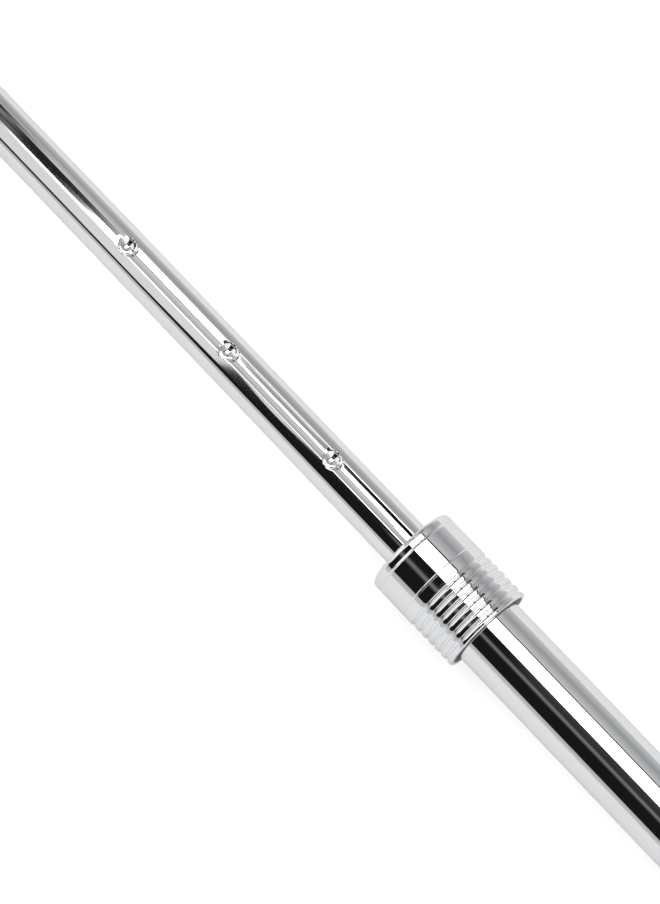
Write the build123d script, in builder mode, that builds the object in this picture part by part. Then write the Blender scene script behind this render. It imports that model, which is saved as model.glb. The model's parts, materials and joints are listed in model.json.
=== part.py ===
"""Telescopic golf ball retriever: a chromed tube that slides in a larger one under a spring collar,
with a rubber grip at one end and a ball scoop at the other. Millimetres, +Z up, lying on the ground.

+X runs along the shaft towards the scoop. The origin is on the ground under the middle of the whole
tool. Every place along the shaft is a station, counted from the lock plane, where the lock ball sits.
"""

import os
from math import sqrt

from build123d import *

# --- driving dimensions -------------------------------------------------------------------------
# tubes
INNER_OD = 12.7
OUTER_OD = 19.0
TUBE_WALL = 0.8
FIT = 0.05  # radial gap of a close fit between two pieces of one body
RUNNING = 0.1  # radial gap of a sliding or turning fit

# detents: a shallow groove down the inner tube with a ball seat pressed into it at each position
DETENT_PITCH = 38.1
DETENT_COUNT = 19
LOCKED_DETENT = 4  # counted from the scoop end: the one the ball holds as stored
GROOVE_WIDTH = 3.5
GROOVE_DEPTH = 0.6
SEAT_DEPTH = 1.4
BALL_RADIUS = 2.38
SEAT_RADIUS = BALL_RADIUS + 0.22

# lock collar
COLLAR_TRAVEL = 4.0
COLLAR_WALL = 1.5  # outside the spring's bore
RIB_CROWN = 0.13
RIB_DEPTH = 0.6
RIB_VALLEY_WIDTH = 0.95
RIB_PITCH = 2.3
RIB_COUNT = 6
NOSE_CLEARANCE = 0.2  # left between the nose and the lock body with the collar right back
NOSE_SEAM = 7.1
BAND_LINE = -1.3
FIRST_VALLEY = -4.8
COLLAR_BACK = -18.1
SPRING_SPACE = 1.4  # between the outer tube and the collar's bore
LAND_BACK = -3.5
LAND_GAP = 0.14
NOSE_WALL = 1.6
NOSE_ROUND = 1.1
COLLAR_EDGE_ROUND = 0.4
LINE_DEPTH = 0.22
LINE_HALF_WIDTH = 0.32
BODY_BEYOND_BALL = 1.62
BODY_BACK = -24.0
BODY_CHAMFER = 0.6
OUTER_TUBE_FRONT = -3.2
SPRING_WIRE_RADIUS = 0.45
SPRING_TURNS = 5.2
SPRING_SEAT_FRONT = -13.8
SPRING_SEAT_WIDTH = 1.4
SPRING_SEAT_GROOVE = 0.3
SPRING_SEAT_GAP = 0.2  # radial, inside the collar
REAR_RING_SEAT = 0.4
REAR_RING_INSET = 0.15
GUIDE_BUSH_WALL = 1.15
GUIDE_BUSH_FRONT = -12.0
GUIDE_BUSH_GAP = 0.07
BALL_HOLE_GAP = 0.07
LOCK_PIN_STATION = -9.0
LOCK_PIN_RADIUS = 1.25
LOCK_PIN_INSET = 0.5
NOSE_WIPER_WALL = 1.25
NOSE_WIPER_WIDTH = 0.9
NOSE_WIPER_INSET = 0.4
NOSE_BORE_GAP = 0.3
NOSE_SPIGOT_LENGTH = 0.9
NOSE_SPIGOT_WALL = 0.7

# handle
OUTER_TUBE_BACK = -757.0
GRIP_LENGTH = 250.0
GRIP_BACK_WALL = 4.1
GRIP_FRONT_WALL = 2.5
GRIP_RING_LENGTH = 4.0
GRIP_RING_ROUND = 1.2
COLLAR_GROUND_GAP = 1.6  # the cap stands the shaft off the ground, so that the collar is clear of it
CAP_LENGTH = 8.0
CAP_ROUND = 3.0
CAP_SPIGOT_LENGTH = 15.0
BUMPER_LENGTH = 15.0
BUMPER_CHAMFER = 1.5
TAB_LENGTH = 16.0
TAB_HEIGHT = 14.0
TAB_THICKNESS = 6.0
HANG_HOLE_RADIUS = 3.5

# tail of the inner tube
TAIL_CLEARANCE = 1.1  # left between the tail bush and the lock body at full stretch
TAIL_BUSH_LENGTH = 12.4
TAIL_FLANGE = 2.0
TAIL_PLUG_LENGTH = 9.0
TAIL_PIN_RADIUS = 1.2
TAIL_PIN_INSET = 0.4
TAIL_BUSH_CHAMFER = 0.8

# scoop head
PLAIN_BEYOND_GROOVE = 60.0  # plain tube between the first detent and the ferrule
FERRULE_LENGTH = 7.7
FERRULE_EDGE = 1.2
FERRULE_LAND = 1.5
NECK_WALL = 3.15
NECK_LENGTH = 42.0
NECK_SOCKET = 32.0
RIVET_RADIUS = 1.6
RIVET_HEAD_HEIGHT = 1.0
RIVET_HEAD_TAPER = 25.0  # degrees
CUP_INNER_RADIUS = 23.0
CUP_WALL = 2.2
CUP_HEIGHT = 35.2
CUP_FLOOR = 2.4
CUP_BASE_INSET = 4.0  # inside the hollow's radius
THUMB_HOLE_RADIUS = 12.0
RIM_OVERHANG = 1.2
RIM_HEIGHT = 2.6
RIM_ROUND = 0.8
LIP_WIDTH = 2.2
DRAIN_COUNT = 8
DRAIN_RING_RADIUS = 16.0
DRAIN_LENGTH = 4.5
DRAIN_WIDTH = 3.0
WINDOW_ANGLES = (32, 76, 120)  # from straight ahead, on both sides
WINDOW_WIDTH = 11.0
WINDOW_HEIGHT = 13.0
WINDOW_MIDDLE = 19.5
WINDOW_CORNER = 4.0

# spring latch at the scoop's mouth
LATCH_SETBACK = 1.8  # from the cup's wall to the pivot
LATCH_DROP = 2.6  # from the rim's underside to the pivot
LATCH_REACH = 8.0
LATCH_WIDTH = 8.0
LATCH_THICKNESS = 2.8
LATCH_SWING_DEPTH = 11.1  # the slot below the rim that the latch swings in
LATCH_CLEARANCE = 0.2
LATCH_SIDE_CLEARANCE = 0.4
LATCH_PIN_RADIUS = 1.45
EAR_THICKNESS = 3.2
EAR_WALL = 1.2
COIL_GAP = 3.2
COIL_WIRE_RADIUS = 0.3
COIL_TURNS = 3.0
COIL_LEG_RISE = 13.0  # degrees
COIL_LONG_LEG = 4.6
COIL_SHORT_LEG = 2.9

# --- worked-out values --------------------------------------------------------------------------
INNER_R = INNER_OD / 2
OUTER_R = OUTER_OD / 2
INNER_BORE_R = INNER_R - TUBE_WALL
OUTER_BORE_R = OUTER_R - TUBE_WALL
GUIDE_BORE_R = INNER_R + RUNNING

FIRST_DETENT = (LOCKED_DETENT - 1) * DETENT_PITCH
LAST_DETENT = (LOCKED_DETENT - DETENT_COUNT) * DETENT_PITCH
DETENTS = [FIRST_DETENT - n * DETENT_PITCH for n in range(DETENT_COUNT)]

# the groove's round floor: it is GROOVE_WIDTH wide where it meets the tube, and GROOVE_DEPTH deep
groove_edge = sqrt(INNER_R**2 - (GROOVE_WIDTH / 2) ** 2)
groove_rise = groove_edge - (INNER_R - GROOVE_DEPTH)
GROOVE_RADIUS = ((GROOVE_WIDTH / 2) ** 2 + groove_rise**2) / (2 * groove_rise)
GROOVE_CENTRE = INNER_R - GROOVE_DEPTH + GROOVE_RADIUS
SEAT_CENTRE = INNER_R - SEAT_DEPTH + SEAT_RADIUS

BALL_CENTRE = INNER_R - SEAT_DEPTH + FIT + BALL_RADIUS
BALL_LIFT = SEAT_DEPTH - GROOVE_DEPTH + FIT  # the ball then clears the groove's floor
LAND_RADIUS = BALL_CENTRE + BALL_RADIUS + LAND_GAP
COLLAR_BORE_RADIUS = OUTER_R + SPRING_SPACE
COLLAR_RADIUS = COLLAR_BORE_RADIUS + COLLAR_WALL
RIB_EDGE_RADIUS = COLLAR_RADIUS - RIB_CROWN
RIB_VALLEY_RADIUS = COLLAR_RADIUS - RIB_DEPTH
REAR_RING_RADIUS = COLLAR_BORE_RADIUS + REAR_RING_SEAT
BODY_FRONT = BALL_RADIUS + BODY_BEYOND_BALL
NOSE_FRONT = BODY_FRONT + COLLAR_TRAVEL + NOSE_CLEARANCE + NOSE_WALL
GUIDE_BUSH_RADIUS = GUIDE_BORE_R + GUIDE_BUSH_WALL
NOSE_WIPER_RADIUS = INNER_R + NOSE_WIPER_WALL
RAMP_END = COLLAR_TRAVEL + 0.9
RECESS_RADIUS = LAND_RADIUS + BALL_LIFT / COLLAR_TRAVEL * RAMP_END
LAST_VALLEY = FIRST_VALLEY - (RIB_COUNT - 1) * RIB_PITCH
SEAT_RING_BACK = SPRING_SEAT_FRONT - SPRING_SEAT_WIDTH
SEAT_RING_BORE = OUTER_R - SPRING_SEAT_GROOVE
NOSE_WIPER_FRONT = NOSE_FRONT - NOSE_WIPER_INSET
NOSE_WIPER_BACK = NOSE_WIPER_FRONT - NOSE_WIPER_WIDTH
SPRING_MEAN_RADIUS = (OUTER_R + COLLAR_BORE_RADIUS) / 2 + FIT

GRIP_BACK_RADIUS = OUTER_R + GRIP_BACK_WALL
GRIP_FRONT_RADIUS = OUTER_R + GRIP_FRONT_WALL
CAP_RADIUS = COLLAR_RADIUS + COLLAR_GROUND_GAP
NECK_RADIUS = INNER_R + NECK_WALL
CUP_BASE_RADIUS = CUP_INNER_RADIUS - CUP_BASE_INSET
TAIL_BUSH_FRONT = BODY_BACK + LAST_DETENT - TAIL_CLEARANCE
TAIL_END = TAIL_BUSH_FRONT - TAIL_BUSH_LENGTH
TAIL_BUSH_R = OUTER_BORE_R - RUNNING
TAIL_PIN_STATION = TAIL_END + TAIL_PLUG_LENGTH / 2
FERRULE_BACK = FIRST_DETENT + PLAIN_BEYOND_GROOVE
NECK_BACK = FERRULE_BACK + FERRULE_LENGTH
INNER_TUBE_FRONT = NECK_BACK + NECK_SOCKET
RIVET_STATION = NECK_BACK + NECK_SOCKET / 2
CUP_OUTER_RADIUS = CUP_INNER_RADIUS + CUP_WALL
CUP_CENTRE = NECK_BACK + NECK_LENGTH + CUP_OUTER_RADIUS - CUP_WALL
RIM_RADIUS = CUP_OUTER_RADIUS + RIM_OVERHANG
RIM_UNDERSIDE = CUP_HEIGHT - RIM_HEIGHT
LATCH_PIVOT = CUP_CENTRE - CUP_OUTER_RADIUS - LATCH_SETBACK
LATCH_HEIGHT = RIM_UNDERSIDE - LATCH_DROP
LATCH_HUB_RADIUS = LATCH_DROP - LATCH_CLEARANCE
LATCH_SLOT = LATCH_WIDTH / 2 + LATCH_SIDE_CLEARANCE
CAP_BACK = OUTER_TUBE_BACK - CAP_LENGTH
TOOL_BACK = CAP_BACK - TAB_LENGTH
TOOL_FRONT = CUP_CENTRE + RIM_RADIUS

AXIS_HEIGHT = CAP_RADIUS
LOCK_X = -(TOOL_BACK + TOOL_FRONT) / 2

# --- planes and helpers -------------------------------------------------------------------------
LENGTHWISE = Plane(origin=(LOCK_X, 0, AXIS_HEIGHT), x_dir=(1, 0, 0), z_dir=(0, -1, 0))
SHAFT_AXIS = Axis((LOCK_X, 0, AXIS_HEIGHT), (1, 0, 0))
CUP_AXIS = Axis((LOCK_X + CUP_CENTRE, 0, 0), (0, 0, 1))


def cross_plane(station, height=0.0):
    """The plane across the shaft at a station, looking towards the scoop, height above the shaft's axis."""
    return Plane(origin=(LOCK_X + station, 0, AXIS_HEIGHT + height), x_dir=(0, 1, 0), z_dir=(1, 0, 0))


def turn(*outline, mode=Mode.ADD):
    """Turns a closed outline of (station, radius) points about the shaft."""
    with BuildSketch(LENGTHWISE) as profile:
        with BuildLine():
            Polyline(*outline, close=True)
        make_face()
    revolve(profile.sketch, axis=SHAFT_AXIS, mode=mode)


def ring(back, front, outer_radius, inner_radius, mode=Mode.ADD):
    """A plain ring, or a disc where inner_radius is 0, between two stations."""
    turn((back, inner_radius), (back, outer_radius), (front, outer_radius), (front, inner_radius), mode=mode)


def crosswise_rod(station, height, radius, length, mode=Mode.ADD):
    """A round rod along Y, centred on the shaft's middle plane, height above the shaft's axis."""
    with BuildSketch(Plane(origin=(LOCK_X + station, 0, AXIS_HEIGHT + height), z_dir=(0, 1, 0))) as end:
        Circle(radius)
    extrude(end.sketch, amount=length / 2, both=True, mode=mode)


def save(piece, name):
    """Labels a finished piece and writes it as one STEP file."""
    piece.label = name
    export_step(piece, f"parts/{name}.step")


os.makedirs("parts", exist_ok=True)

# --- inner tube: drawn steel with the detent groove pressed into its top ------------------------


def pressed_form(radius, grown):
    """The tube's round form with the groove and ball seats pressed in; grown is the wall outside it."""
    ring(TAIL_END, INNER_TUBE_FRONT, radius, 0)
    with BuildSketch(cross_plane(LAST_DETENT, GROOVE_CENTRE)) as groove:
        Circle(GROOVE_RADIUS + grown)
    extrude(groove.sketch, amount=FIRST_DETENT - LAST_DETENT, mode=Mode.SUBTRACT)
    with Locations(*[(LOCK_X + x, 0, AXIS_HEIGHT + SEAT_CENTRE) for x in DETENTS]):
        Sphere(SEAT_RADIUS + grown, mode=Mode.SUBTRACT)


with BuildPart() as tube_bore:
    pressed_form(INNER_BORE_R, TUBE_WALL)

with BuildPart() as inner_tube:
    pressed_form(INNER_R, 0)
    add(tube_bore.part, mode=Mode.SUBTRACT)
    crosswise_rod(RIVET_STATION, 0, RIVET_RADIUS + FIT, INNER_OD, mode=Mode.SUBTRACT)
    crosswise_rod(TAIL_PIN_STATION, 0, TAIL_PIN_RADIUS, INNER_OD, mode=Mode.SUBTRACT)
save(inner_tube.part, "inner_tube")

# --- tail: a plastic slider on the inner tube's hidden end, held by a plug and a cross pin -------

with BuildPart() as tail_bush:
    ring(TAIL_END, TAIL_BUSH_FRONT, TAIL_BUSH_R, INNER_R)
    crosswise_rod(TAIL_PIN_STATION, 0, TAIL_PIN_RADIUS, 2 * TAIL_BUSH_R, mode=Mode.SUBTRACT)
    front_rim = tail_bush.edges().group_by(Axis.X)[-1].sort_by(SortBy.RADIUS)[-1]
    chamfer(front_rim, TAIL_BUSH_CHAMFER)
save(tail_bush.part, "tail_bush")

with BuildPart() as tail_plug:
    ring(TAIL_END, TAIL_END + TAIL_PLUG_LENGTH, INNER_BORE_R - FIT, 0)
    ring(TAIL_END - TAIL_FLANGE, TAIL_END, TAIL_BUSH_R - RUNNING, 0)
    crosswise_rod(TAIL_PIN_STATION, 0, TAIL_PIN_RADIUS, INNER_OD, mode=Mode.SUBTRACT)
save(tail_plug.part, "tail_plug")

with BuildPart() as tail_pin:
    crosswise_rod(TAIL_PIN_STATION, 0, TAIL_PIN_RADIUS, 2 * (TAIL_BUSH_R - TAIL_PIN_INSET))
save(tail_pin.part, "tail_pin")

# --- outer tube and what closes its back end ----------------------------------------------------

with BuildPart() as outer_tube:
    ring(OUTER_TUBE_BACK, OUTER_TUBE_FRONT, OUTER_R, OUTER_BORE_R)
    ring(SEAT_RING_BACK, SPRING_SEAT_FRONT, OUTER_R, SEAT_RING_BORE, mode=Mode.SUBTRACT)
    crosswise_rod(LOCK_PIN_STATION, 0, LOCK_PIN_RADIUS, OUTER_OD, mode=Mode.SUBTRACT)
save(outer_tube.part, "outer_tube")

GRIP_BACK = OUTER_TUBE_BACK
GRIP_FRONT = GRIP_BACK + GRIP_LENGTH

with BuildPart() as grip:
    turn(
        (GRIP_BACK, OUTER_R),
        (GRIP_BACK, GRIP_BACK_RADIUS),
        (GRIP_FRONT, GRIP_FRONT_RADIUS),
        (GRIP_FRONT, OUTER_R),
    )
save(grip.part, "grip")

with BuildPart() as grip_ring:
    ring(GRIP_FRONT, GRIP_FRONT + GRIP_RING_LENGTH, GRIP_FRONT_RADIUS, OUTER_R)
    fillet(grip_ring.edges().group_by(Axis.X)[-1].sort_by(SortBy.RADIUS)[-1], GRIP_RING_ROUND)
save(grip_ring.part, "grip_ring")

with BuildPart() as grip_cap:
    ring(CAP_BACK, GRIP_BACK, CAP_RADIUS, 0)
    fillet(grip_cap.edges().group_by(Axis.X)[0], CAP_ROUND)
    ring(GRIP_BACK, GRIP_BACK + CAP_SPIGOT_LENGTH, OUTER_BORE_R - FIT, 0)
    with BuildSketch(LENGTHWISE.offset(-TAB_THICKNESS / 2)):
        with Locations((CAP_BACK - TAB_LENGTH / 2 + TAB_HEIGHT / 4, 0)):
            SlotOverall(TAB_LENGTH + TAB_HEIGHT / 2, TAB_HEIGHT)
    extrude(amount=TAB_THICKNESS)
    hang_hole_station = CAP_BACK - TAB_LENGTH + TAB_HEIGHT / 2
    crosswise_rod(hang_hole_station, 0, HANG_HOLE_RADIUS, 2 * CAP_RADIUS, mode=Mode.SUBTRACT)
save(grip_cap.part, "grip_cap")

BUMPER_BACK = GRIP_BACK + CAP_SPIGOT_LENGTH

with BuildPart() as bumper:
    ring(BUMPER_BACK, BUMPER_BACK + BUMPER_LENGTH, OUTER_BORE_R - FIT, 0)
    chamfer(bumper.edges().group_by(Axis.X)[-1], BUMPER_CHAMFER)
save(bumper.part, "bumper")

# --- lock body: carries the ball and guides the inner tube ---------------------------------------

with BuildPart() as lock_body:
    ring(OUTER_TUBE_FRONT, BODY_FRONT, OUTER_R, GUIDE_BORE_R)
    ring(BODY_BACK, OUTER_TUBE_FRONT, OUTER_BORE_R - FIT, GUIDE_BORE_R)
    ring(BODY_BACK, GUIDE_BUSH_FRONT, GUIDE_BUSH_RADIUS, GUIDE_BORE_R, mode=Mode.SUBTRACT)
    with BuildSketch(Plane(origin=(LOCK_X, 0, AXIS_HEIGHT))):
        Circle(BALL_RADIUS + BALL_HOLE_GAP)
    extrude(amount=OUTER_OD, mode=Mode.SUBTRACT)
    crosswise_rod(LOCK_PIN_STATION, 0, LOCK_PIN_RADIUS, OUTER_OD, mode=Mode.SUBTRACT)
    chamfer(lock_body.edges().group_by(Axis.X)[-1].sort_by(SortBy.RADIUS)[-1], BODY_CHAMFER)
save(lock_body.part, "lock_body")

with BuildPart() as guide_bush:
    ring(BODY_BACK, GUIDE_BUSH_FRONT, GUIDE_BUSH_RADIUS, INNER_R + GUIDE_BUSH_GAP)
save(guide_bush.part, "guide_bush")

with BuildPart() as lock_pins:
    crosswise_rod(LOCK_PIN_STATION, 0, LOCK_PIN_RADIUS, OUTER_OD - 2 * LOCK_PIN_INSET)
    crosswise_rod(
        LOCK_PIN_STATION, 0, LOCK_PIN_RADIUS, 2 * (GUIDE_BORE_R + LOCK_PIN_INSET), mode=Mode.SUBTRACT
    )
save(lock_pins.part, "lock_pins")

with BuildPart() as lock_ball:
    with Locations((LOCK_X, 0, AXIS_HEIGHT + BALL_CENTRE)):
        Sphere(BALL_RADIUS)
save(lock_ball.part, "lock_ball")

with BuildPart() as spring_seat:
    ring(SEAT_RING_BACK, SPRING_SEAT_FRONT, COLLAR_BORE_RADIUS - SPRING_SEAT_GAP, SEAT_RING_BORE)
save(spring_seat.part, "spring_seat")

# --- release collar: nose ring, ribbed sleeve and rear wiper, pushed forward by the spring -------


def score_line(station):
    """A fine V line turned round the collar."""
    turn(
        (station - LINE_HALF_WIDTH, COLLAR_RADIUS),
        (station, COLLAR_RADIUS - LINE_DEPTH),
        (station + LINE_HALF_WIDTH, COLLAR_RADIUS),
        mode=Mode.SUBTRACT,
    )


with BuildPart() as release_collar:
    with BuildSketch(LENGTHWISE):
        with BuildLine():
            # the finger ribs: crowned crests between round-bottomed valleys, from front to back
            Line((NOSE_SEAM, COLLAR_RADIUS), (FIRST_VALLEY + RIB_PITCH / 2, COLLAR_RADIUS))
            for n in range(RIB_COUNT):
                middle = FIRST_VALLEY - n * RIB_PITCH
                front_edge = (middle + RIB_VALLEY_WIDTH / 2, RIB_EDGE_RADIUS)
                back_edge = (middle - RIB_VALLEY_WIDTH / 2, RIB_EDGE_RADIUS)
                TangentArc((middle + RIB_PITCH / 2, COLLAR_RADIUS), front_edge, tangent=(-1, 0))
                ThreePointArc(front_edge, (middle, RIB_VALLEY_RADIUS), back_edge)
                TangentArc((middle - RIB_PITCH / 2, COLLAR_RADIUS), back_edge, tangent=(1, 0))
            # the ball's land, ramp and recess, then the bore for the spring and the rear ring
            Polyline(
                (LAST_VALLEY - RIB_PITCH / 2, COLLAR_RADIUS),
                (COLLAR_BACK, COLLAR_RADIUS),
                (COLLAR_BACK, REAR_RING_RADIUS),
                (SEAT_RING_BACK - FIT, REAR_RING_RADIUS),
                (SEAT_RING_BACK - FIT, COLLAR_BORE_RADIUS),
                (LAND_BACK, COLLAR_BORE_RADIUS),
                (LAND_BACK, LAND_RADIUS),
                (0, LAND_RADIUS),
                (RAMP_END, RECESS_RADIUS),
                (NOSE_SEAM, RECESS_RADIUS),
                (NOSE_SEAM, COLLAR_RADIUS),
            )
        make_face()
    revolve(axis=SHAFT_AXIS)
    fillet(release_collar.edges().group_by(Axis.X)[0].sort_by(SortBy.RADIUS)[-1], COLLAR_EDGE_ROUND)
    score_line(BAND_LINE)
    score_line(NOSE_SEAM)
save(release_collar.part, "release_collar")

with BuildPart() as nose_ring:
    ring(NOSE_SEAM, NOSE_FRONT, COLLAR_RADIUS, INNER_R + NOSE_BORE_GAP)
    ring(NOSE_SEAM - NOSE_SPIGOT_LENGTH, NOSE_SEAM, RECESS_RADIUS, RECESS_RADIUS - NOSE_SPIGOT_WALL)
    ring(NOSE_SEAM, NOSE_FRONT - NOSE_WALL, RECESS_RADIUS - NOSE_SPIGOT_WALL, 0, mode=Mode.SUBTRACT)
    ring(NOSE_WIPER_BACK, NOSE_WIPER_FRONT, NOSE_WIPER_RADIUS, 0, mode=Mode.SUBTRACT)
    fillet(nose_ring.edges().group_by(Axis.X)[-1].sort_by(SortBy.RADIUS)[-1], NOSE_ROUND)
    score_line(NOSE_SEAM)
save(nose_ring.part, "nose_ring")

with BuildPart() as nose_wiper:
    ring(NOSE_WIPER_BACK, NOSE_WIPER_FRONT, NOSE_WIPER_RADIUS, INNER_R + RUNNING)
save(nose_wiper.part, "nose_wiper")

with BuildPart() as rear_wiper:
    ring(COLLAR_BACK + REAR_RING_INSET, SEAT_RING_BACK - FIT, REAR_RING_RADIUS, OUTER_R + RUNNING)
save(rear_wiper.part, "rear_wiper")

spring_start = SPRING_SEAT_FRONT + SPRING_WIRE_RADIUS + FIT
spring_height = LAND_BACK - SPRING_WIRE_RADIUS - FIT - spring_start

with BuildPart() as collar_spring:
    with BuildLine():
        coil = Helix(
            pitch=spring_height / SPRING_TURNS,
            height=spring_height,
            radius=SPRING_MEAN_RADIUS,
            center=(LOCK_X + spring_start, 0, AXIS_HEIGHT),
            direction=(1, 0, 0),
        )
    with BuildSketch(Plane(origin=coil @ 0, z_dir=coil % 0)):
        Circle(SPRING_WIRE_RADIUS)
    sweep()
save(collar_spring.part, "collar_spring")

# --- scoop: moulded cup on a neck, with a spring latch at its mouth ------------------------------

with BuildPart() as ferrule:
    turn(
        (FERRULE_BACK, INNER_R),
        (FERRULE_BACK, INNER_R + FERRULE_EDGE),
        (NECK_BACK - FERRULE_LAND, NECK_RADIUS),
        (NECK_BACK, NECK_RADIUS),
        (NECK_BACK, INNER_R),
    )
save(ferrule.part, "ferrule")

with BuildPart() as neck_rivet:
    crosswise_rod(RIVET_STATION, 0, RIVET_RADIUS, 2 * NECK_RADIUS)
    for side in (1, -1):
        head_middle = (LOCK_X + RIVET_STATION, side * NECK_RADIUS, AXIS_HEIGHT)
        with BuildSketch(Plane(origin=head_middle, z_dir=(0, side, 0))):
            Circle(2 * RIVET_RADIUS)
        extrude(amount=RIVET_HEAD_HEIGHT, taper=RIVET_HEAD_TAPER)
save(neck_rivet.part, "neck_rivet")

UPRIGHT = Plane(origin=(LOCK_X + CUP_CENTRE, 0, 0), x_dir=(1, 0, 0), z_dir=(0, -1, 0))
cup_floor_edge = CUP_BASE_RADIUS - CUP_WALL
cup_curve_top = CUP_FLOOR + CUP_INNER_RADIUS - cup_floor_edge
cup_outer_curve = CUP_OUTER_RADIUS - CUP_BASE_RADIUS
LATCH_PLANE = Plane(origin=(LOCK_X + LATCH_PIVOT, 0, LATCH_HEIGHT), x_dir=(1, 0, 0), z_dir=(0, -1, 0))
slot_floor = RIM_UNDERSIDE - LATCH_SWING_DEPTH

with BuildPart() as scoop_cup:
    # the neck, then the cup's solid form over it
    ring(NECK_BACK, CUP_CENTRE - CUP_INNER_RADIUS, NECK_RADIUS, 0)
    with BuildSketch(UPRIGHT):
        with BuildLine():
            Line((0, 0), (CUP_BASE_RADIUS, 0))
            JernArc((CUP_BASE_RADIUS, 0), (1, 0), cup_outer_curve, 90)
            Polyline(
                (CUP_OUTER_RADIUS, cup_outer_curve),
                (CUP_OUTER_RADIUS, RIM_UNDERSIDE),
                (RIM_RADIUS, RIM_UNDERSIDE),
                (RIM_RADIUS, CUP_HEIGHT),
                (0, CUP_HEIGHT),
                (0, 0),
            )
        make_face()
    revolve(axis=CUP_AXIS)
    fillet(scoop_cup.edges().group_by(Axis.Z)[-1], RIM_ROUND)
    # ears for the latch pin, on the neck beside the slot
    for side in (1, -1):
        with BuildSketch(LATCH_PLANE.offset(side * LATCH_SLOT)):
            Circle(LATCH_HUB_RADIUS + EAR_WALL)
            with Locations((0, 0)):
                Rectangle(
                    2 * (LATCH_HUB_RADIUS + EAR_WALL),
                    LATCH_HEIGHT - AXIS_HEIGHT,
                    align=(Align.CENTER, Align.MAX),
                )
                Rectangle(
                    LATCH_SETBACK + CUP_WALL / 2,
                    LATCH_HEIGHT - AXIS_HEIGHT,
                    align=(Align.MIN, Align.MAX),
                )
        extrude(amount=side * EAR_THICKNESS)
    # the wall that joins the ears behind the latch, and carries the spring's short leg
    with BuildSketch(LATCH_PLANE):
        with Locations((-LATCH_HUB_RADIUS - EAR_WALL, 0)):
            Rectangle(
                EAR_WALL - LATCH_CLEARANCE,
                LATCH_HEIGHT - AXIS_HEIGHT,
                align=(Align.MIN, Align.MAX),
            )
    extrude(amount=LATCH_SLOT, both=True)
    # the ball's hollow, the tube's socket and its rivet's hole
    with BuildSketch(UPRIGHT):
        with BuildLine():
            Line((0, CUP_FLOOR), (cup_floor_edge, CUP_FLOOR))
            JernArc((cup_floor_edge, CUP_FLOOR), (1, 0), cup_curve_top - CUP_FLOOR, 90)
            Polyline(
                (CUP_INNER_RADIUS, cup_curve_top),
                (CUP_INNER_RADIUS, CUP_HEIGHT),
                (0, CUP_HEIGHT),
                (0, CUP_FLOOR),
            )
        make_face()
    revolve(axis=CUP_AXIS, mode=Mode.SUBTRACT)
    ring(NECK_BACK, INNER_TUBE_FRONT, INNER_R + FIT, 0, mode=Mode.SUBTRACT)
    crosswise_rod(RIVET_STATION, 0, RIVET_RADIUS, 2 * NECK_RADIUS, mode=Mode.SUBTRACT)
    # a fixed lip over the front of the mouth, opposite the latch
    with BuildSketch(Plane(origin=(LOCK_X + CUP_CENTRE, 0, RIM_UNDERSIDE))):
        Circle(CUP_INNER_RADIUS + CUP_WALL / 2)
        with Locations((-LIP_WIDTH, 0)):
            Circle(CUP_INNER_RADIUS, mode=Mode.SUBTRACT)
        Rectangle(
            3 * CUP_INNER_RADIUS,
            3 * CUP_INNER_RADIUS,
            align=(Align.MAX, Align.CENTER),
            mode=Mode.SUBTRACT,
        )
    extrude(amount=RIM_HEIGHT - RIM_ROUND)
    # thumb hole and drains in the floor
    with BuildSketch(Plane(origin=(LOCK_X + CUP_CENTRE, 0, 0))):
        Circle(THUMB_HOLE_RADIUS)
        with PolarLocations(DRAIN_RING_RADIUS, DRAIN_COUNT, start_angle=180 / DRAIN_COUNT):
            SlotOverall(DRAIN_LENGTH, DRAIN_WIDTH)
    extrude(amount=cup_curve_top, mode=Mode.SUBTRACT)
    # windows through the side wall
    for angle in WINDOW_ANGLES:
        for side in (1, -1):
            outwards = Vector(1, 0, 0).rotate(Axis.Z, side * angle)
            middle = Vector(LOCK_X + CUP_CENTRE, 0, WINDOW_MIDDLE) + outwards * CUP_INNER_RADIUS
            with BuildSketch(Plane(origin=middle, x_dir=(0, 0, 1), z_dir=outwards)):
                RectangleRounded(WINDOW_HEIGHT, WINDOW_WIDTH, WINDOW_CORNER)
            extrude(amount=2 * CUP_WALL, both=True, mode=Mode.SUBTRACT)
    # the slot that the latch swings in, and its pin's holes
    with BuildSketch(LATCH_PLANE):
        with Locations((-LATCH_HUB_RADIUS - LATCH_CLEARANCE, slot_floor - LATCH_HEIGHT)):
            Rectangle(
                LATCH_HUB_RADIUS + LATCH_CLEARANCE + LATCH_SETBACK + 2 * CUP_WALL,
                LATCH_SWING_DEPTH,
                align=(Align.MIN, Align.MIN),
            )
    extrude(amount=LATCH_SLOT, both=True, mode=Mode.SUBTRACT)
    ear_span = 2 * (LATCH_SLOT + EAR_THICKNESS)
    crosswise_rod(LATCH_PIVOT, LATCH_HEIGHT - AXIS_HEIGHT, LATCH_PIN_RADIUS, ear_span, mode=Mode.SUBTRACT)
save(scoop_cup.part, "scoop_cup")

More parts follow.
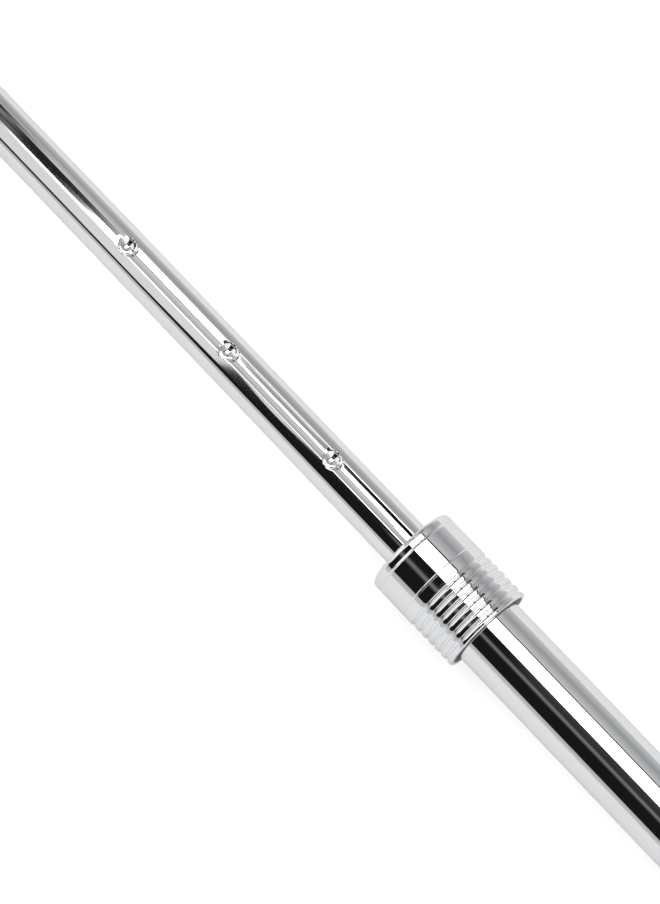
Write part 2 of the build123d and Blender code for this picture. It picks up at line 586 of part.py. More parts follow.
with BuildPart() as latch:
    with BuildSketch(LATCH_PLANE):
        Circle(LATCH_HUB_RADIUS)
        with Locations((0, LATCH_HUB_RADIUS)):
            Rectangle(LATCH_REACH, LATCH_THICKNESS, align=(Align.MIN, Align.MAX))
    extrude(amount=LATCH_WIDTH / 2, both=True)
    fillet(latch.edges().group_by(Axis.X)[-1].sort_by(Axis.Z)[0], LATCH_THICKNESS / 2)
    with BuildSketch(LATCH_PLANE):
        with Locations((LATCH_HUB_RADIUS + LATCH_CLEARANCE, 0)):
            Rectangle(4 * LATCH_HUB_RADIUS, 4 * LATCH_HUB_RADIUS, align=(Align.MAX, Align.CENTER))
    extrude(amount=COIL_GAP / 2, both=True, mode=Mode.SUBTRACT)
    crosswise_rod(
        LATCH_PIVOT, LATCH_HEIGHT - AXIS_HEIGHT, LATCH_PIN_RADIUS + FIT, LATCH_WIDTH, mode=Mode.SUBTRACT
    )
save(latch.part, "latch")

with BuildPart() as latch_pin:
    crosswise_rod(LATCH_PIVOT, LATCH_HEIGHT - AXIS_HEIGHT, LATCH_PIN_RADIUS, ear_span)
save(latch_pin.part, "latch_pin")

# a torsion spring on the pin: its long leg lifts the latch, its short one bears on the slot's back wall
coil_radius = LATCH_PIN_RADIUS + 2 * FIT + COIL_WIRE_RADIUS
coil_height = COIL_GAP - 2 * COIL_WIRE_RADIUS - 4 * FIT

with BuildPart() as latch_spring:
    with BuildLine():
        upright_coil = Helix(
            pitch=coil_height / COIL_TURNS,
            height=coil_height,
            radius=coil_radius,
            center=(LOCK_X + LATCH_PIVOT, -coil_height / 2, LATCH_HEIGHT),
            direction=(0, 1, 0),
            mode=Mode.PRIVATE,
        )
        pin_axis = Axis((LOCK_X + LATCH_PIVOT, 0, LATCH_HEIGHT), (0, 1, 0))
        coil = add(upright_coil.rotate(pin_axis, 180 - COIL_LEG_RISE)).edge()
        long_leg = Line(coil @ 0 - (coil % 0) * COIL_LONG_LEG, coil @ 0)
        Line(coil @ 1, coil @ 1 + (coil % 1) * COIL_SHORT_LEG)
    with BuildSketch(Plane(origin=long_leg @ 0, z_dir=long_leg % 0)):
        Circle(COIL_WIRE_RADIUS)
    sweep()
save(latch_spring.part, "latch_spring")
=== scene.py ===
# %% [markdown]
# # A telescopic golf ball retriever
#
# The tool is a chromed tube that slides in a larger one. A spring collar locks it: a steel ball sits
# in one of the seats pressed down the inner tube. A rubber grip closes one end and a scoop the other.
#
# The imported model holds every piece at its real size. This script loads it as a fixed frame, and
# models again the pieces whose finish would show the facets of a machine-made mesh.

# %% Load the frame
import json
import math

import bmesh
import bpy
from mathutils import Matrix, Vector


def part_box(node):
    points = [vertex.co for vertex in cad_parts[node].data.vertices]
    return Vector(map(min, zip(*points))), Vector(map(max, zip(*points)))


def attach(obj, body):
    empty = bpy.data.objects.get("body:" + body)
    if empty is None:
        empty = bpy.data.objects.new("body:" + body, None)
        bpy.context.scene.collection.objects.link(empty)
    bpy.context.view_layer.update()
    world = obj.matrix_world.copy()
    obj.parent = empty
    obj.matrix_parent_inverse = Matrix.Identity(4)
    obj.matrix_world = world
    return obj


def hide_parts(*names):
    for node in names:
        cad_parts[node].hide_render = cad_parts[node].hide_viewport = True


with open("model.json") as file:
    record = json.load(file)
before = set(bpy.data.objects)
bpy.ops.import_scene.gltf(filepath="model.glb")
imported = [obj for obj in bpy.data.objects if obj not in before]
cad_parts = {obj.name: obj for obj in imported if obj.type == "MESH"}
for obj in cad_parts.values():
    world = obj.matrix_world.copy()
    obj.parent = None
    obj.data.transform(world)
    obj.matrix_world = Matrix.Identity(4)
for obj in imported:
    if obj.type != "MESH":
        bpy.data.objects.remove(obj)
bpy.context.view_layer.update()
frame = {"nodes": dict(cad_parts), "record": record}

record = frame["record"]
body_of = {node: body for body, nodes in record["behaviour"]["bodies"].items() for node in nodes}
slot_of = {part["node"]: part["material_slot"] for part in record["subparts"]}

# %% [markdown]
# ## Sizes
#
# Lengths are in metres, so a millimetre gets a name. The shaft lies along X. Its axis, its tubes and
# the lock ball's place come from the frame, and every place along it is a station, counted from the
# ball towards the scoop, as it would be on the maker's drawing.

# %% The shaft's sizes
MM = 0.001


def centre_of(node):
    low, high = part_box(node)
    return (Vector(low) + Vector(high)) / 2


def radius_of(node):
    low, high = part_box(node)
    return (high[1] - low[1]) / 2


LOCK_X = centre_of("lock_ball").x
AXIS_Z = centre_of("outer_tube").z
INNER_R = radius_of("inner_tube")
OUTER_R = radius_of("outer_tube")
COLLAR_R = radius_of("release_collar")
slide_range = next(j["range_m"] for j in record["behaviour"]["joints"] if j["name"] == "tube_slide")
DETENTS_AHEAD = 3
DETENT_PITCH = -slide_range[0] / DETENTS_AHEAD
DETENTS_BEHIND = round(slide_range[1] / DETENT_PITCH)
print(f"tubes {2 * INNER_R / MM:.1f} and {2 * OUTER_R / MM:.1f} mm, a seat every {DETENT_PITCH / MM:.1f} mm")

# %% [markdown]
# ## Node expressions
#
# Shader and geometry maths reads best as plain arithmetic. `Value` wraps a socket, and its operators
# add Math nodes. Both kinds of tree take the same Math node, so one class serves both. Any other node
# comes from `Tree.node`, which takes its type, its settings and what goes into its sockets.

# %% A tree that is written as expressions


class Tree:
    def __init__(self, tree):
        self.nodes, self.links = tree.nodes, tree.links

    def node(self, kind, settings=None, inputs=None):
        made = self.nodes.new(kind)
        for name, value in (settings or {}).items():
            setattr(made, name, value)
        for name, value in (inputs or {}).items():
            self.feed(made.inputs[name], value)
        return made

    def feed(self, socket, value):
        if isinstance(value, Value):
            value = value.socket
        if isinstance(value, bpy.types.NodeSocket):
            self.links.new(value, socket)
        else:
            socket.default_value = value

    def math(self, operation, *values, **settings):
        made = self.node("ShaderNodeMath", {"operation": operation, **settings}, dict(enumerate(values)))
        return Value(self, made.outputs[0])

    def xyz(self, x, y, z):
        return self.node("ShaderNodeCombineXYZ", inputs={"X": x, "Y": y, "Z": z}).outputs[0]

    def split(self, vector):
        parts = self.node("ShaderNodeSeparateXYZ", inputs={"Vector": vector}).outputs
        return [Value(self, part) for part in parts]


class Value:
    def __init__(self, tree, socket):
        self.tree, self.socket = tree, socket

    def __add__(self, other):
        return self.tree.math("ADD", self, other)

    def __sub__(self, other):
        return self.tree.math("SUBTRACT", self, other)

    def __rsub__(self, other):
        return self.tree.math("SUBTRACT", other, self)

    def __mul__(self, other):
        return self.tree.math("MULTIPLY", self, other)

    def __truediv__(self, other):
        return self.tree.math("DIVIDE", self, other)

    def __neg__(self):
        return self * -1

    __radd__, __rmul__ = __add__, __mul__

    def do(self, operation, *others):
        return self.tree.math(operation, self, *others)

    def rise(self, start, end):
        """0 before start, 1 after end and an even slope between."""
        slope = 1 / (end - start)
        return self.tree.math("MULTIPLY_ADD", self, slope, -start * slope, use_clamp=True)

    def past(self, edge, soft):
        """0 before edge and 1 after it, with a soft step."""
        return (self - edge).rise(-soft / 2, soft / 2)

    def band(self, start, end, soft):
        """1 between start and end, with edges soft wide."""
        return self.past(start, soft) * (end - self).rise(-soft / 2, soft / 2)


# %% [markdown]
# ## The studio
#
# Chrome shows the room, so the room is the finish. A long white softbox stands over the tool on the
# far side and a black flag on the near side, which gives the crisp white and black bands of a
# catalogue picture. Lamps would do it too, but their edges are soft and noisy in a mirror, so the
# whole room is drawn in the world instead, by two angles: how far a direction leans from straight up
# towards +Y, in degrees, and how far it points along the shaft, as its X.
#
# The bare tube needs more than two bands, because its groove is a mirror of its own. So the lights
# step in and out past the collar and at each of the three seats, and a white card stands behind.

# %% The world and its measures
world = bpy.data.worlds.new("studio")
bpy.context.scene.world = world
world.use_nodes = True
world.node_tree.nodes.clear()
sky = Tree(world.node_tree)

SOFTBOX = (-29.4, 7.6)
FRAME, FRAME_GLOW = 4.0, 0.03  # a dark frame beside the softbox
DARK_ENDS = (0.38, 0.60)  # a dark gap past both ends of the softbox, as X
BOX_END, FAR_END_STEP = (0.86, 0.9), 0.05
SOFTBOX_GLOW, DARK_GLOW, FAR_GLOW = 3.6, 0.03, 0.62

FLAG_END, FLAG_REACH = 77.6, (0.42, 0.50)
FLAG_GLOW, END_LIGHT = 0.012, 1.3
STREAK, STREAK_HALF, STREAK_GLOW = 34, 9.0, 0.24  # a soft gap between two flags
NEAR_GLOW, NEAR_TUBE, NEAR_LEAN = 0.05, (0.085, 0.10), (42, 8)  # a greyer flag beside the outer tube

ROOM_LOW, ROOM_HIGH, ROOM_DARKEST, ROOM_SPREAD = 0.42, 0.80, 62, 34
TENT_GLOW, BACKDROP_GLOW = 1.05, 1.0


def over(glow, mask, top):
    """glow where mask is 0, top where it is 1."""
    mixed = sky.node("ShaderNodeMix", {"data_type": "FLOAT"}, {0: mask, 2: glow, 3: top})
    return Value(sky, mixed.outputs[0])


# %% Two angles for every direction, and the steps along the shaft
direction = sky.node("ShaderNodeTexCoord").outputs["Generated"]
along, across, up = sky.split(direction)
lean = across.do("ARCTAN2", up).do("DEGREES")
reach = along.do("ABSOLUTE")

PAST_COLLAR, PAST_THIRD = (0.162, 0.172), (0.199, 0.206)
PAST_SECOND, PAST_FIRST = (0.259, 0.265), (0.32, 0.345)
bare = along.rise(*PAST_COLLAR)
third, second, first = along.rise(*PAST_THIRD), along.rise(*PAST_SECOND), along.rise(*PAST_FIRST)
between = third - second  # 1 between the third seat and the second
print("steps along the shaft at", PAST_COLLAR, PAST_THIRD, PAST_SECOND, PAST_FIRST)

# %% The room and the near side
# the room behind everything: darkest part of the way down each side
from_darkest = (lean.do("ABSOLUTE") - ROOM_DARKEST).do("ABSOLUTE")
glow = ROOM_LOW + (ROOM_HIGH - ROOM_LOW) * from_darkest.rise(0, ROOM_SPREAD)

# degrees that the softbox's two edges move by, at the steps
BARE_STEP, SECOND_STEP = 13.4, 7
BETWEEN_BACK, SECOND_ON = 10, 12
box_start = SOFTBOX[0] + bare * BARE_STEP + second * SECOND_STEP
box_end = SOFTBOX[1] - between * BETWEEN_BACK + second * SECOND_ON

streak = (1 - (lean - STREAK).do("ABSOLUTE").rise(0, STREAK_HALF)).do("POWER", 1.5)
near_grey = lean.rise(*NEAR_LEAN) * NEAR_GLOW * (1 - along.rise(*NEAR_TUBE))
near_side = FLAG_GLOW + near_grey + streak * STREAK_GLOW * (1 - bare)

# the card starts as a sliver between two seats, then widens at the second one
CARD_START, CARD_GLOW, GROOVE_GLOW = 19, 0.95, 0.42
SLIVER_WIDTH, SLIVER_OPENS, SLIVER_CLOSES = 17, (0.206, 0.230), (0.240, 0.261)
CARD_WIDTH, CARD_SPREAD, SPREADS = 42, 7, (0.265, 0.31)
near_side = over(near_side, between * (1 - lean.rise(CARD_START - 1, CARD_START)), GROOVE_GLOW)
sliver = along.rise(*SLIVER_OPENS) * (1 - along.rise(*SLIVER_CLOSES)) * SLIVER_WIDTH
card_end = CARD_START + sliver * between + second * (CARD_WIDTH + along.rise(*SPREADS) * CARD_SPREAD)
near_side = over(near_side, lean.band(CARD_START, card_end, 1.5) * third, CARD_GLOW)
near_side = over(near_side, reach.rise(*FLAG_REACH), END_LIGHT)
glow = over(glow, lean.band(box_end, FLAG_END, 0.6), near_side)

# %% The softbox over the far side
glow = over(glow, lean.band(box_start - FRAME, box_start, 0.5), FRAME_GLOW)
dark_end = reach.band(*DARK_ENDS, 0.03)
past_gap = reach.rise(DARK_ENDS[1], DARK_ENDS[1] + FAR_END_STEP)
box_glow = over(over(SOFTBOX_GLOW, past_gap, FAR_GLOW), dark_end, DARK_GLOW)
glow = over(glow, lean.band(box_start, box_end, 0.5) * (1 - reach.rise(*BOX_END)), box_glow)

# a dark strip beyond the softbox's ends, and a dark wedge that opens past the first seat
STRIP_START = -46
WEDGE_WIDTH, WEDGE_END, WEDGE_GLOW = 40, (0.38, 0.42), 0.02
glow = over(glow, lean.band(STRIP_START, SOFTBOX[0], 3) * dark_end, DARK_GLOW)
wedge = lean.band(SOFTBOX[0], SOFTBOX[0] + first * WEDGE_WIDTH, 1) * first * (1 - along.rise(*WEDGE_END))
glow = over(glow, wedge, WEDGE_GLOW)

# %% What the camera and the matt surfaces see of it
sky_ray = sky.node("ShaderNodeLightPath").outputs
glow = over(glow, Value(sky, sky_ray["Is Diffuse Ray"]), TENT_GLOW)
glow = over(glow, Value(sky, sky_ray["Is Camera Ray"]), BACKDROP_GLOW)
background = sky.node("ShaderNodeBackground", inputs={"Strength": glow})
sky.node("ShaderNodeOutputWorld", inputs={"Surface": background.outputs[0]})
world.cycles.sampling_method = "MANUAL"
world.cycles.sample_map_resolution = 1024
print(len(sky.nodes), "nodes draw the room")

# %% [markdown]
# ## The floor
#
# The floor is a sheet of white paper, far larger than the tool. It is paler in the chrome than to a
# matt surface, and a little light of its own keeps the shadow under the shaft as soft as on a light
# table. The tone curve is left plain, so that white stays white.

# %% The floor and the picture's tone
bpy.context.scene.view_settings.view_transform = "Standard"
bpy.context.scene.view_settings.look = "None"

FLOOR_HALF = 3.0
FLOOR_ALBEDO, FLOOR_MIRRORED, FLOOR_LIT = 0.78, 0.86, 0.50


def mesh_object(name, mesh):
    made = bpy.data.objects.new(name, mesh)
    bpy.context.scene.collection.objects.link(made)
    return made


floor_mesh = bpy.data.meshes.new("floor")
corners = [(-1, -1), (1, -1), (1, 1), (-1, 1)]
floor_mesh.from_pydata([(x * FLOOR_HALF, y * FLOOR_HALF, 0) for x, y in corners], [], [(0, 1, 2, 3)])
floor = mesh_object("floor", floor_mesh)
print("floor", 2 * FLOOR_HALF, "m square")

# %% [markdown]
# ## The camera
#
# A long lens looks down on the middle of the shaft, from the grip's side and turned so that the shaft
# runs across the picture's diagonal. The frame of three directions is worked out from an azimuth, an
# elevation and a roll, as for a camera on a tripod.

# %% The camera
AZIMUTH, ELEVATION, ROLL = (math.radians(angle) for angle in (132.96, 72.2, 4.63))
AIM = Vector((LOCK_X + 41.2 * MM, -2.35 * MM, AXIS_Z))
DISTANCE = 0.6
LENS = 96.2

flat = math.cos(ELEVATION)
back = Vector((flat * math.cos(AZIMUTH), flat * math.sin(AZIMUTH), math.sin(ELEVATION)))
level = Vector((0, 0, 1)).cross(back).normalized()
upward = back.cross(level)
right = level * math.cos(ROLL) + upward * math.sin(ROLL)
top = upward * math.cos(ROLL) - level * math.sin(ROLL)
camera_data = bpy.data.cameras.new("camera")
camera_data.lens, camera_data.sensor_width = LENS, 36
camera_data.clip_start, camera_data.clip_end = 0.01, 50
camera = bpy.data.objects.new("camera", camera_data)
bpy.context.scene.collection.objects.link(camera)
turned = Matrix((right, top, back)).transposed().to_4x4()
camera.matrix_world = Matrix.Translation(AIM + back * DISTANCE) @ turned
bpy.context.scene.camera = camera
print("camera at", tuple(round(c, 3) for c in camera.matrix_world.translation))

# %% [markdown]
# ## Finishes
#
# A material is a Principled shader whose roughness, colour and bump vary as the real surface does.
# `Finish` starts one and offers the textures that most of them share: noise that can be stretched
# along the shaft, and a bump made from a height in metres.

# %% A finish


class Finish(Tree):
    def __init__(self, name):
        self.material = bpy.data.materials.new(name)
        self.material.use_nodes = True
        self.material.node_tree.nodes.clear()
        super().__init__(self.material.node_tree)
        self.place = self.node("ShaderNodeTexCoord").outputs["Object"]

    def noise(self, size, stretch=(1, 1, 1), detail=4.0):
        """Noise between 0 and 1 whose grains are about size metres, times stretch."""
        scale = tuple(1 / (size * each) for each in stretch)
        moved = self.node("ShaderNodeMapping", inputs={"Vector": self.place, "Scale": scale}).outputs[0]
        made = self.node("ShaderNodeTexNoise", inputs={"Vector": moved, "Scale": 1.0, "Detail": detail})
        return Value(self, made.outputs["Fac"])

    def blend(self, dark, light, factor):
        """A colour between two."""
        settings = {"data_type": "RGBA"}
        made = self.node("ShaderNodeMix", settings, {0: factor, 6: (*dark, 1), 7: (*light, 1)})
        return made.outputs[2]

    def bump(self, height):
        """A normal from a height in metres."""
        made = self.node("ShaderNodeBump", inputs={"Height": height, "Strength": 1.0, "Distance": 1.0})
        return made.outputs["Normal"]

    def shade(self, **inputs):
        """Ends the finish: inputs are the shader's sockets, with _ for a space."""
        named = {name.replace("_", " "): value for name, value in inputs.items()}
        shader = self.node("ShaderNodeBsdfPrincipled", inputs=named)
        self.node("ShaderNodeOutputMaterial", inputs={"Surface": shader.outputs[0]})
        return self.material


# %% The floor's paper
paper = Finish("floor_paper")
paper_ray = paper.node("ShaderNodeLightPath").outputs
floor.data.materials.append(paper.shade(
    Base_Color=paper.blend([FLOOR_ALBEDO] * 3, [FLOOR_MIRRORED] * 3, paper_ray["Is Glossy Ray"]),
    Roughness=0.9,
    Emission_Color=paper.blend([0] * 3, [FLOOR_LIT] * 3, paper_ray["Is Camera Ray"]),
    Emission_Strength=1.0,
))
print("paper of", len(paper.nodes), "nodes")

# %% [markdown]
# ### Chrome
#
# Bright chrome is a metal that is nearly a mirror. The tubes were drawn and polished along their
# length, so their faint ripple is stretched along X; the collar was turned, so its marks go round.
# Handling leaves soft smudges, which only the roughness shows.

# %% Chrome on the tubes and on the collar
POLISH_RIPPLE, PLATING_WAVE = 1.5e-8, 5e-6  # heights in metres


def chrome(name, stretch):
    finish = Finish(name)
    smudge = finish.noise(18 * MM, (2.5, 1, 1)).rise(0.45, 0.75)
    lines = finish.noise(0.12 * MM, stretch, detail=2.0)
    waves = finish.noise(7 * MM, stretch=(5, 1, 1), detail=1.0)
    return finish.shade(
        Base_Color=finish.blend((0.83, 0.84, 0.86), (0.90, 0.91, 0.92), waves),
        Metallic=1.0,
        Roughness=0.028 + smudge * 0.035 + lines * 0.012,
        Normal=finish.bump(waves * PLATING_WAVE + lines * POLISH_RIPPLE),
    )


materials = {
    "chrome_tube": chrome("drawn_chrome", (120, 1, 1)),
    "chrome_collar": chrome("turned_chrome", (1, 60, 60)),
}
print("chrome:", ", ".join(material.name for material in materials.values()))

# %% [markdown]
# ### Plain metals
#
# The ball is ground and polished, the pins are turned, the springs are drawn wire, and the lock body
# is plated in dull zinc. They share one recipe with their own colour, gloss and grain.

# %% Ball, pins, springs, lock body and trim ring
METAL_RELIEF = 2e-6


def metal(name, dark, light, roughness, grain, stretch=(1, 1, 1)):
    finish = Finish(name)
    cloud = finish.noise(grain, stretch)
    fine = finish.noise(grain / 6, stretch, detail=2.0)
    return finish.shade(
        Base_Color=finish.blend(dark, light, cloud),
        Metallic=1.0,
        Roughness=roughness + cloud * roughness * 0.6,
        Normal=finish.bump(fine * METAL_RELIEF),
    )


materials["polished_ball"] = metal("ground_steel", (0.74, 0.75, 0.77), (0.84, 0.85, 0.87), 0.05, 2 * MM)
materials["pin_steel"] = metal("turned_steel", (0.52, 0.53, 0.55), (0.66, 0.66, 0.68), 0.22, 0.8 * MM)
materials["spring_wire"] = metal("drawn_wire", (0.42, 0.42, 0.43), (0.6, 0.6, 0.61), 0.25, 1.2 * MM)
materials["lock_casting"] = metal("zinc_plate", (0.45, 0.46, 0.47), (0.6, 0.61, 0.6), 0.34, 1.5 * MM)
materials["trim_ring"] = metal(
    "anodised_ring", (0.7, 0.7, 0.72), (0.8, 0.8, 0.82), 0.2, 0.5 * MM, (0.4, 8, 8),
)
print(len(materials), "finishes so far")

# %% [markdown]
# ### Plastics and rubber
#
# Moulded plastic has a fine spark-eroded grain and flows a little unevenly, so its colour and gloss
# drift. Rubber is duller, with dust in its low places and a paler bloom where hands rub it.

# %% Moulded plastics
MOULD_GRAIN, MOULD_RELIEF = 0.35 * MM, 9e-6


def plastic(name, dark, light, roughness, coat=0.0):
    finish = Finish(name)
    flow = finish.noise(9 * MM, (2, 1, 1))
    texture = finish.noise(MOULD_GRAIN, detail=3.0)
    scuff = finish.noise(1.6 * MM, (5, 1, 1), detail=6.0).rise(0.62, 0.72)
    return finish.shade(
        Base_Color=finish.blend(dark, light, flow * 0.8 + scuff * 0.2),
        Roughness=roughness + flow * 0.08 + scuff * 0.1,
        Normal=finish.bump(texture * MOULD_RELIEF),
        Coat_Weight=coat,
        Coat_Roughness=0.12,
    )


ORANGE_DARK, ORANGE_LIGHT = (0.80, 0.17, 0.012), (0.90, 0.235, 0.02)
materials["scoop_plastic"] = plastic("orange_nylon", ORANGE_DARK, ORANGE_LIGHT, 0.26, coat=0.25)
materials["black_plastic"] = plastic("black_acetal", (0.012, 0.012, 0.013), (0.03, 0.03, 0.031), 0.34)
materials["white_plastic"] = plastic("natural_acetal", (0.78, 0.76, 0.7), (0.87, 0.86, 0.81), 0.3)
print(len(materials), "finishes so far")

# %% Rubbers
SKIN_RELIEF, SURFACE_DRIFT = 1.6e-5, 2e-5


def rubber(name, dark, light, roughness):
    finish = Finish(name)
    cloud = finish.noise(14 * MM, (2, 1, 1))
    dust = finish.noise(0.9 * MM, detail=5.0).rise(0.5, 0.8)
    skin = finish.noise(0.18 * MM, detail=2.0)
    return finish.shade(
        Base_Color=finish.blend(dark, light, cloud * 0.5 + dust * 0.5),
        Roughness=roughness + cloud * 0.12,
        Normal=finish.bump(skin * SKIN_RELIEF + cloud * SURFACE_DRIFT),
        Sheen_Weight=0.12,
        Sheen_Roughness=0.5,
    )


materials["grip_rubber"] = rubber("grip_rubber", (0.013, 0.013, 0.014), (0.036, 0.036, 0.038), 0.55)
materials["black_rubber"] = rubber("cap_rubber", (0.010, 0.010, 0.011), (0.028, 0.028, 0.029), 0.5)

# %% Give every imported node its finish
for node, slot in slot_of.items():
    for material_slot in frame["nodes"][node].material_slots:
        material_slot.material = materials[slot]
print(len(materials), "finishes")

# %% [markdown]
# ## The inner tube
#
# The tube is the tool's main piece, and its shape follows a rule: a round tube with a shallow groove
# pressed down its top and a ball seat at each detent. Geometry Nodes can state that rule. A grid is
# bent round the shaft, and its height is the lowest of three surfaces: the tube, the groove's
# cylinder and the seat's sphere. Smooth minimums round the pressed shoulders. The grid is packed
# closer at the seats and along the groove, where a mirror finish would show the facets.

# %% The tube's sizes
GROOVE_WIDTH, GROOVE_DEPTH = 3.5 * MM, 0.6 * MM
SEAT_DEPTH, SEAT_RADIUS = 1.75 * MM, 2.6 * MM
GROOVE_SHOULDER, SEAT_SHOULDER = 0.10 * MM, 0.14 * MM
HIDDEN_BORE = 4.4 * MM
ROWS_A_PITCH, ROUND_STEPS = 40, 96
ROW_PULL, ROUND_PULL = 0.85, 0.72  # 0 is even spacing, and near 1 is all at the seats

groove_edge = math.sqrt(INNER_R**2 - (GROOVE_WIDTH / 2) ** 2)
groove_rise = groove_edge - (INNER_R - GROOVE_DEPTH)
GROOVE_RADIUS = ((GROOVE_WIDTH / 2) ** 2 + groove_rise**2) / (2 * groove_rise)
tail_x, front_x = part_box("inner_tube")[0][0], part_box("inner_tube")[1][0]
first_seat_x = LOCK_X + DETENTS_AHEAD * DETENT_PITCH
SETTLING_STEPS = 80


def turns_at(x):
    """The pitches from the first seat that the pulled rows need to reach x."""
    plain = (x - first_seat_x) / DETENT_PITCH
    turns = plain
    for _ in range(SETTLING_STEPS):
        turns = plain + ROW_PULL * math.sin(2 * math.pi * turns) / (2 * math.pi)
    return turns


tube_sizes = {
    "Radius": INNER_R, "Hidden bore": HIDDEN_BORE, "Pitch": DETENT_PITCH, "First seat": first_seat_x,
    "Tail turns": turns_at(tail_x), "Front turns": turns_at(front_x),
    "Last seat": -DETENTS_BEHIND - DETENTS_AHEAD,
    "Seat radius": SEAT_RADIUS, "Seat depth": SEAT_DEPTH,
    "Groove radius": GROOVE_RADIUS, "Groove depth": GROOVE_DEPTH,
    "Axis height": AXIS_Z,
}
print(f"the groove's floor is {GROOVE_RADIUS / MM:.2f} mm round")

# %% Making and running a geometry tree


def new_geometry_tree(name, sizes):
    """A geometry tree with named number inputs, and the identifier of each."""
    tree = bpy.data.node_groups.new(name, "GeometryNodeTree")
    tree.interface.new_socket("Geometry", in_out="INPUT", socket_type="NodeSocketGeometry")
    tree.interface.new_socket("Geometry", in_out="OUTPUT", socket_type="NodeSocketGeometry")
    keys = {}
    for size in sizes:
        socket = tree.interface.new_socket(size, in_out="INPUT", socket_type="NodeSocketFloat")
        keys[size] = socket.identifier
    return tree, keys


def run_tree(name, tree, keys, sizes, start=None):
    """Runs a geometry tree on a start mesh and returns the result as a plain object."""
    carrier = mesh_object(name + "_carrier", start or bpy.data.meshes.new(name + "_start"))
    modifier = carrier.modifiers.new(name, "NODES")
    modifier.node_group = tree
    for size, value in sizes.items():
        modifier[keys[size]] = value
    evaluated = carrier.evaluated_get(bpy.context.evaluated_depsgraph_get())
    mesh = bpy.data.meshes.new_from_object(evaluated)
    bpy.data.objects.remove(carrier)
    mesh.name = name
    return mesh_object(name, mesh)


# %% The grid that becomes the tube
tube_tree, tube_keys = new_geometry_tree("pressed_tube", tube_sizes)
rows = round(ROWS_A_PITCH * (tube_sizes["Front turns"] - tube_sizes["Tail turns"]))
g = Tree(tube_tree)
size_node = g.node("NodeGroupInput")
size = {name: Value(g, size_node.outputs[name]) for name in tube_sizes}
grid = g.node("GeometryNodeMeshGrid", inputs={
    "Size X": 1.0, "Size Y": 1.0, "Vertices X": rows + 3, "Vertices Y": ROUND_STEPS + 1,
})
u, v, _ = g.split(grid.outputs["UV Map"])

# the first row and the last two are the hidden bore, so that the shell closes on itself
row = (u * (rows + 2)).do("ROUND")
outside = row.do("GREATER_THAN", 0.5) * row.do("LESS_THAN", rows + 0.5)
closing = row.do("GREATER_THAN", rows + 1.5)
share = ((row - 1) / (rows - 1)).rise(0, 1) * (1 - closing)
turns = size["Tail turns"] + (size["Front turns"] - size["Tail turns"]) * share
pull = (turns * 2 * math.pi).do("SINE") * (ROW_PULL / (2 * math.pi))
x = size["First seat"] + size["Pitch"] * (turns - pull)
angle = (v - 0.5) * 2 * math.pi
angle = angle - angle.do("SINE") * ROUND_PULL
side, height = angle.do("SINE") * size["Radius"], angle.do("COSINE") * size["Radius"]
print(rows, "rows of", ROUND_STEPS, "points")

# %% The groove and the seats
FADE, LIFT = 0.05, 2 * MM  # over this share of a pitch the groove's cylinder rises clear of the tube
# the groove fades out just past the first and last seats
along_groove = (x - size["First seat"]) / size["Pitch"]
beyond = along_groove.rise(0, FADE) + (size["Last seat"] - along_groove).rise(0, FADE)
groove_centre = size["Radius"] - size["Groove depth"] + size["Groove radius"]
groove = groove_centre - (size["Groove radius"].do("POWER", 2) - side * side).do("MAXIMUM", 0).do("SQRT")
groove = groove + beyond * LIFT

# the nearest seat
nearest = along_groove.do("ROUND").do("MINIMUM", 0).do("MAXIMUM", size["Last seat"])
off = (along_groove - nearest) * size["Pitch"]
seat_centre = size["Radius"] - size["Seat depth"] + size["Seat radius"]
inside_seat = size["Seat radius"].do("POWER", 2) - off * off - side * side
seat = seat_centre - inside_seat.do("MAXIMUM", 0).do("SQRT")

pressed = height.do("SMOOTH_MIN", groove, GROOVE_SHOULDER).do("SMOOTH_MIN", seat, SEAT_SHOULDER)
print("shoulders of", GROOVE_SHOULDER / MM, "and", SEAT_SHOULDER / MM, "mm")

# %% Close the tube and give it its finish
TOUCHING = 1e-7
pressed = pressed * outside + angle.do("COSINE") * size["Hidden bore"] * (1 - outside)
side = side * outside + angle.do("SINE") * size["Hidden bore"] * (1 - outside)
moved = g.node("GeometryNodeSetPosition", inputs={
    "Geometry": grid.outputs["Mesh"], "Position": g.xyz(x, side, pressed + size["Axis height"]),
})
closed = g.node("GeometryNodeMergeByDistance", inputs={"Geometry": moved.outputs[0], "Distance": TOUCHING})
real = g.node("GeometryNodeRealizeInstances", inputs={"Geometry": closed.outputs[0]})
painted = g.node("GeometryNodeSetMaterial", inputs={
    "Geometry": real.outputs[0], "Material": materials["chrome_tube"],
})
g.node("NodeGroupOutput", inputs={"Geometry": painted.outputs[0]})
print(len(g.nodes), "nodes in the tube's tree")

# %% Run the tube's tree
SHARP = math.radians(38)


def settle(piece, node, recalculate=True):
    """Smooths a finished piece, points its faces outwards, and puts it in the place of a node."""
    mesh = piece.data
    if recalculate:
        loose = bmesh.new()
        loose.from_mesh(mesh)
        bmesh.ops.recalc_face_normals(loose, faces=loose.faces)
        loose.to_mesh(mesh)
        loose.free()
    mesh.shade_smooth()
    mesh.set_sharp_from_angle(angle=SHARP)
    if not mesh.materials:
        mesh.materials.append(materials[slot_of[node]])
    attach(piece, body_of[node])
    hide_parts(node)
    triangles = sum(len(face.vertices) - 2 for face in mesh.polygons)
    print(f"{piece.name}: {triangles} triangles")


settle(run_tree("pressed_inner_tube", tube_tree, tube_keys, tube_sizes), "inner_tube")

# %% [markdown]
# ## Turned pieces
#
# The outer tube, the collar and its rings are all turned, so each is a closed outline spun about the
# shaft's axis. An outline is a list of (station, radius) points in millimetres, and `rounded` puts a
# small arc at a corner, because no real edge is perfectly sharp and a bright edge needs a width.

